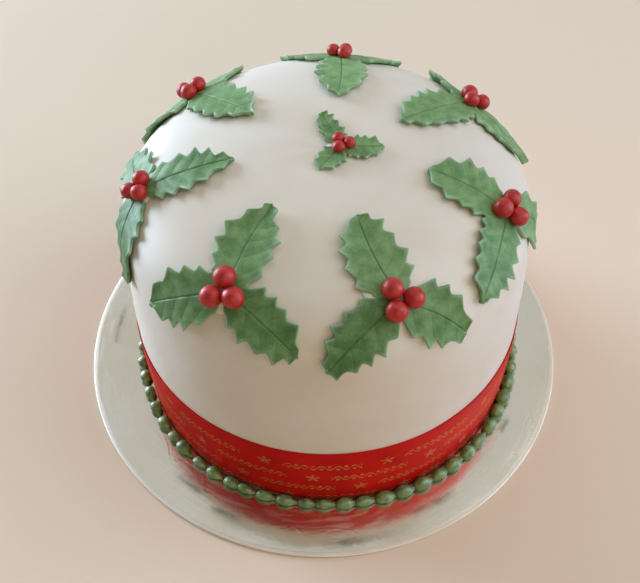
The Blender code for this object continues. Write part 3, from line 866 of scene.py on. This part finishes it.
def leaf_mesh(name, axes, leaf, scale, rng):
    """Sections across a leaf, carried from its foot to its tip over the icing.

    A section runs over the top from the left edge to the right and back underneath. Its
    height is the paste's thickness, rounded off at both edges, plus the lift and the
    puffs, less the veins. Each half has its own shift and warp of the spikes.
    """
    heading, reach, half_width, bend, *curls = leaf
    share = np.linspace(0, 1, LEAF_ROWS + 2)[1:-1, None] ** 0.92
    even = np.linspace(1, -1, LEAF_COLUMNS)[None]
    side = even - 0.6 / (2 * math.pi) * np.sin(2 * math.pi * even)
    start = LEAF_START * scale
    length = reach * MM - start
    shift = np.where(side > 0, rng.uniform(-0.2, 0.2), rng.uniform(-0.2, 0.2))
    warp = np.where(side > 0, rng.uniform(0, 6), rng.uniform(0, 6))
    tip = rng.uniform(*LEAF_TIP)
    phase = SPIKE_PHASE + shift + 0.13 * np.sin(8 * share + warp)
    pitch = SPIKE_PITCH * scale / length
    edge, spike = leaf_outline(share, phase, half_width * MM - LEAF_INSET * scale, pitch, tip)
    spike = spike * (1 + 0.25 * np.sin(11 * share + 2 * warp))
    out = SPIKE_LENGTH * scale * spike
    across = (edge + out) * side
    along = start + length * share + 0.3 * out * np.abs(side) ** 3
    bent = across + bend * MM * np.sin(math.pi * share)
    points, normals = laid_on_icing(axes, turned_flat(along, bent, heading))

    vein, puff = leaf_veins(share, across / scale, length / scale, phase, pitch)
    lift = leaf_lift(share, side, spike, curls, scale, rng)
    to_tip = np.clip((1 - share) / 0.02, 0, 1) ** 0.5
    rounded = np.sqrt(np.clip(1 - np.abs(side) ** 26, 0, 1)) * to_tip
    half = LEAF_THICKNESS * scale ** 0.5 / 2
    middle = LEAF_GAP + half + lift
    relief = PUFF_HEIGHT * puff * (1 - side ** 4) - VEIN_DEPTH * vein
    relief = relief * rounded * scale ** 0.5
    top = points + normals * (middle + half * rounded + relief)[..., None]
    under = points + normals * (middle - half * rounded)[..., None]
    back = slice(-2, 0, -3)
    rings = np.concatenate([top, under[:, back]], axis=1)[None] + CAKE_MIDDLE
    mesh = ringed_mesh(name, rings, rings[:, 0].mean(axis=1), rings[:, -1].mean(axis=1))

    def on_top(values):
        """The values for the points of the top, and 0 for the others and both ends."""
        around = np.concatenate([values, values[:, back] * 0], axis=1).ravel()
        return np.append(around, [0.0, 0.0])

    # Pale rims, spike tips and leaf tip: partly dust, partly a painted highlight where the raised edges
    # catch the light.
    rim = np.clip((np.abs(side) - 0.8) / 0.2, 0, 1) * (0.35 + 0.65 * spike)
    rim = np.maximum(rim, np.clip((share - 0.95) / 0.05, 0, 1))
    # The veins' depth, which the material also uses to paint shade into the grooves.
    store_value(mesh, "vein", on_top(vein * rounded))
    store_value(mesh, "rim", on_top(rim))
    return mesh


def leaf_material():
    """Mottled green paste under painted shade, set by each leaf's tone and deepest in its sunken veins,
    with pale dust on its grain, and pale rims that are partly dust and partly a painted highlight.
    """
    mat, tree, shader = new_material("green sugar paste")
    sugar = sugar_grain(tree, patch_size=0.0045, grain_size=0.0006, grain_depth=0.00007)
    vein = read_value(tree, "vein")
    rim = read_value(tree, "rim")
    # The tone is painted shade, or painted light where it is below 0; together with the random mottling
    # it darkens the paste.
    tone = read_value(tree, "tone")
    mottled = calc(tree, "MULTIPLY_ADD", sugar["Mottling"], 0.6, calc(tree, "MULTIPLY", tone, 0.4))
    green = blend(tree, mottled, colour(*LEAF_GREEN), colour(*LEAF_DARK_AND_SHADE))
    # Painted shade in the sunken veins.
    vein_shaded = blend(tree, calc(tree, "MULTIPLY", vein, 0.5), green, colour(*LEAF_VEIN_SHADE))
    # Pale grain dust, and a painted highlight on the rims and spike tips.
    dust_and_highlight = calc(tree, "MULTIPLY_ADD", sugar["Dust"], 0.14, calc(tree, "MULTIPLY", rim, 0.62))
    dusted = blend(tree, dust_and_highlight, vein_shaded, colour(*LEAF_DUST_AND_HIGHLIGHT))
    sugar_finish(tree, shader, sugar, dusted, smooth=0.44, rough=0.54)
    shader.inputs["Specular IOR Level"].default_value = 0.3
    let_light_in(shader, weight=0.1, depth=0.0008, shares=(0.5, 1.0, 0.4))
    return mat


LEAF_PASTE = leaf_material()
leaf_rng = np.random.default_rng(LEAF_SEED)
for sprig_name, azimuth, distance, shade_tones, _, leaves in SPRIGS:
    axes = sprig_axes(azimuth, distance * MM)
    for number, (leaf, tone) in enumerate(zip(leaves, shade_tones), start=1):
        leaf_name = f"holly_leaf_{sprig_name}_{number}"
        mesh = leaf_mesh(leaf_name, axes, leaf, sprig_scale(sprig_name), leaf_rng)
        # The tone from the table is painted shade; a small random paste tone is added to it.
        tone = tone + leaf_rng.uniform(-0.15, 0.15)
        store_value(mesh, "tone", np.full(len(mesh.vertices), tone))
        place_piece(leaf_name, mesh, LEAF_PASTE, "leaf", f"leaf_{sprig_name}_{number}")


# The dabs: a little soft white icing under each sprig holds its leaves and berries. It
# has squeezed out between the leaves here and there.

DAB_RADIUS = 0.0058
DAB_HEIGHT = 0.0011
DAB_SINK = 0.0002
DAB_ROWS = 14
DAB_ROUND = 72
DAB_LOBE = math.radians(24)
SOFT_ICING_WHITE = (246, 245, 240)


def dabs_mesh():
    """One low mound for each sprig: a flattened half ball with one lobe squeezed out."""
    share = np.linspace(0.02, 0.97, DAB_ROWS)[:, None]
    angle = np.linspace(0, 2 * math.pi, DAB_ROUND, endpoint=False)[None]
    rings, starts, ends = [], [], []
    for number, (sprig_name, azimuth, distance, _, lobe, _) in enumerate(SPRIGS):
        axes = sprig_axes(azimuth, distance * MM)
        middle, *_, normal = axes
        radius, height = np.array([DAB_RADIUS, DAB_HEIGHT]) * sprig_scale(sprig_name)
        lobe_heading, lobe_reach = lobe
        off_lobe = (angle - math.radians(lobe_heading) + math.pi) % (2 * math.pi) - math.pi
        lobe_share = np.exp(-(off_lobe / DAB_LOBE) ** 2)
        wavy = 1 + 0.12 * np.sin(3 * angle + number) + 0.06 * np.sin(5 * angle + 2 * number)
        edge = radius * wavy + (lobe_reach * MM - radius) * lobe_share
        reach = edge * np.cos(share * math.pi / 2) ** 0.6
        flat = np.stack([reach * np.cos(angle), reach * np.sin(angle)], axis=-1)
        points, normals = laid_on_icing(axes, flat)
        rise = height * np.sin(share * math.pi / 2) ** 0.6 * (1 + 0.5 * lobe_share)
        rings.append(points + normals * rise[..., None] + CAKE_MIDDLE)
        starts.append(middle - normal * DAB_SINK + CAKE_MIDDLE)
        ends.append(middle + normal * height + CAKE_MIDDLE)
    return ringed_mesh("icing_dabs", np.array(rings), np.array(starts), np.array(ends))


SOFT_ICING = icing_material("soft white icing", SOFT_ICING_WHITE, ICING_WHITE)
place_piece("icing_dabs", dabs_mesh(), SOFT_ICING, "icing")


# The berries: balls of red sugar paste rolled between the fingers, pressed onto the
# leaves and against each other, three to a sprig, with a soft sheen.

BERRY_SWELL = 1.12
BERRY_FLATTEN = 0.96
BERRY_PRESS = 0.25
PRESS_SOFTNESS = 0.12
BERRY_ROWS = 30
BERRY_ROUND = 44
BERRY_SEED = 3
BERRY_RED = (192, 42, 38)
BERRY_DEEP = (164, 28, 30)
BERRY_DUST = (205, 120, 110)


def pressed(offset, up, radius):
    """Offsets from a ball's middle, with what lies below the pressed face moved up to it.

    With over as the height above that face, in radii, a point goes up by half of the
    root of over squared plus a small softness squared, less half of over.
    """
    over = (offset @ up) / radius + 1 - BERRY_PRESS
    sunk = np.sqrt(over ** 2 + PRESS_SOFTNESS ** 2) / 2 - over / 2
    return offset + sunk[..., None] * radius * up


def berry_mesh(name, low, high, rng):
    """A ball with low lumps and a faint dimple, pressed flat where it sits on the leaves.

    It is a little larger than the solid, so that a sprig's three berries touch.
    """
    polar = np.linspace(0, math.pi, BERRY_ROWS)[1:-1, None]
    angle = np.linspace(0, 2 * math.pi, BERRY_ROUND, endpoint=False)[None]
    solid_radius = (high - low)[:2].max() / 2
    centre = (low + high) / 2
    centre[2] = high[2] - solid_radius * BERRY_FLATTEN
    up = to_icing(centre - CAKE_MIDDLE)[1]
    radius = solid_radius * BERRY_SWELL
    half = radius * np.array([1.0, 1.0, BERRY_FLATTEN])
    shift = rng.uniform(0, 2 * math.pi, 3)
    level = np.sin(polar)
    way = np.stack([level * np.cos(angle), level * np.sin(angle), -np.cos(polar) + 0 * angle], axis=-1)
    lumps = np.sin(2 * angle + shift[0]) * level ** 2 * np.cos(2 * polar + shift[1])
    lumps = lumps + 0.6 * np.sin(3 * angle + shift[2]) * level ** 3
    dimple_way = rng.normal(size=3) * np.array([1.0, 1.0, 0.3])
    dimple_way = dimple_way / np.linalg.norm(dimple_way)
    dimple = np.exp(-((1 - way @ dimple_way) / 0.10) ** 2)
    size = 0.98 + 0.026 * lumps - 0.05 * dimple
    poles = np.array([[[0.0, 0.0, -half[2]]], [[0.0, 0.0, half[2]]]])
    rings = centre + pressed(way * half * size[..., None], up, radius)
    start, end = centre + pressed(poles, up, radius)
    return ringed_mesh(name, rings[None], start, end)


def berry_material():
    """Mottled red paste with a soft sheen and a trace of pale dust."""
    mat, tree, shader = new_material("red sugar paste")
    sugar = sugar_grain(tree, patch_size=0.0025, grain_size=0.0004, grain_depth=0.00003)
    red = blend(tree, sugar["Mottling"], colour(*BERRY_RED), colour(*BERRY_DEEP))
    dusted = blend(tree, calc(tree, "MULTIPLY", sugar["Dust"], 0.1), red, colour(*BERRY_DUST))
    sugar_finish(tree, shader, sugar, dusted, smooth=0.34, rough=0.46)
    let_light_in(shader, weight=0.1, depth=0.0008, shares=(1.0, 0.2, 0.1))
    return mat


BERRY_PASTE = berry_material()
berry_rng = np.random.default_rng(BERRY_SEED)
for sprig_name, *_ in SPRIGS:
    for number in (1, 2, 3):
        low, high = (np.array(corner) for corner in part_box(f"berry_{sprig_name}_{number}"))
        berry_name = f"holly_berry_{sprig_name}_{number}"
        berry = berry_mesh(berry_name, low, high, berry_rng)
        place_piece(berry_name, berry, BERRY_PASTE, "berry", f"berry_{sprig_name}_{number}")


# The setting: a plain pale floor, soft light from the left and the right, and the camera
# at the angle of the photograph, high in front of the cake.

FLOOR_RADIUS = 1.15
FLOOR_DROP = 0.0002
FLOOR_SIDES = 180
FLOOR_COLOUR = (229, 213, 193)
ROOM_COLOUR = (1.0, 0.95, 0.87, 1.0)
ROOM_LIGHT = 0.02
ROOM_SEEN = 0.6
ROOM_FADE = (0.35, 0.55)
LIGHTS_AIM = np.array([0.0, 0.0, 0.06])
# Each light's name, place, width, power in watts and tone.
LIGHTS = [
    ("left_window", (-1.09, 0.71, 0.19), 0.8, 37.5, (0.68, 0.82, 1.0)),
    ("right_window", (1.25, 0.0, 0.22), 0.8, 8.0, (0.5, 0.66, 1.0)),
    ("right_high_window", (0.92, -0.1, 0.93), 0.95, 6.2, (0.94, 0.96, 1.0)),
    ("back_softbox", (0.0, 0.65, 1.186), 2.0, 7.8, (1.0, 1.0, 0.97)),
    ("front_fill", (0.3, -0.88, 0.85), 1.0, 4.6, (1.0, 0.75, 0.47)),
]
CAMERA_PLACE = (0.0, -0.2579, 0.3660)
CAMERA_TURN = (38.039, 0.496, -0.386)
CAMERA_LENS = 56.25


def add_floor():
    """A flat round disc, a hair below the card."""
    angle = np.linspace(0, 2 * math.pi, FLOOR_SIDES, endpoint=False)
    rim = np.stack([np.cos(angle), np.sin(angle), angle * 0], axis=-1) * FLOOR_RADIUS
    mesh = bpy.data.meshes.new("floor")
    mesh.from_pydata(rim.tolist(), [], [list(range(FLOOR_SIDES))])
    mat, tree, shader = new_material("pale floor")
    set_inputs(tree, shader, {"Base Color": colour(*FLOOR_COLOUR), "Roughness": 0.8})
    mesh.materials.append(mat)
    floor = bpy.data.objects.new("floor", mesh)
    floor.location.z = -FLOOR_DROP
    bpy.context.scene.collection.objects.link(floor)


def add_light(name, place, width, power, tone):
    """A large soft square light at a place, facing the middle of the cake."""
    data = bpy.data.lights.new(name, "AREA")
    data.shape = "SQUARE"
    data.size = width
    data.energy = power
    data.color = tone
    lamp = bpy.data.objects.new(name, data)
    lamp.location = place
    away = np.array(place) - LIGHTS_AIM
    tilt = math.acos(away[2] / np.linalg.norm(away))
    lamp.rotation_euler = (0.0, tilt, math.atan2(away[1], away[0]))
    bpy.context.scene.collection.objects.link(lamp)


def add_room():
    """A dim room, which is pale up to a low height where it is seen or mirrored."""
    world = bpy.data.worlds.new("room")
    world.use_nodes = True
    tree = world.node_tree
    path = add_node(tree, "ShaderNodeLightPath").outputs
    seen = calc(tree, "MAXIMUM", path["Is Camera Ray"], path["Is Glossy Ray"])
    way = add_node(tree, "ShaderNodeTexCoord").outputs["Generated"]
    rise = add_node(tree, "ShaderNodeSeparateXYZ", {0: way}).outputs["Z"]
    pale = calc(tree, "MULTIPLY", seen, spread(tree, rise, *ROOM_FADE, 1.0, 0.0))
    strength = calc(tree, "MULTIPLY_ADD", pale, ROOM_SEEN, ROOM_LIGHT)
    set_inputs(tree, tree.nodes["Background"], {"Color": ROOM_COLOUR, "Strength": strength})
    bpy.context.scene.world = world


def add_camera():
    """The camera, with a lens in millimetres for a 36 mm wide sensor."""
    data = bpy.data.cameras.new("camera")
    data.sensor_fit = "HORIZONTAL"
    data.sensor_width = 36.0
    data.lens = CAMERA_LENS
    data.clip_start = 0.01
    camera = bpy.data.objects.new("camera", data)
    camera.location = CAMERA_PLACE
    camera.rotation_euler = [math.radians(turn) for turn in CAMERA_TURN]
    bpy.context.scene.collection.objects.link(camera)
    bpy.context.scene.camera = camera


add_floor()
for light in LIGHTS:
    add_light(*light)
add_room()
add_camera()
bpy.context.scene.view_settings.view_transform = "Standard"
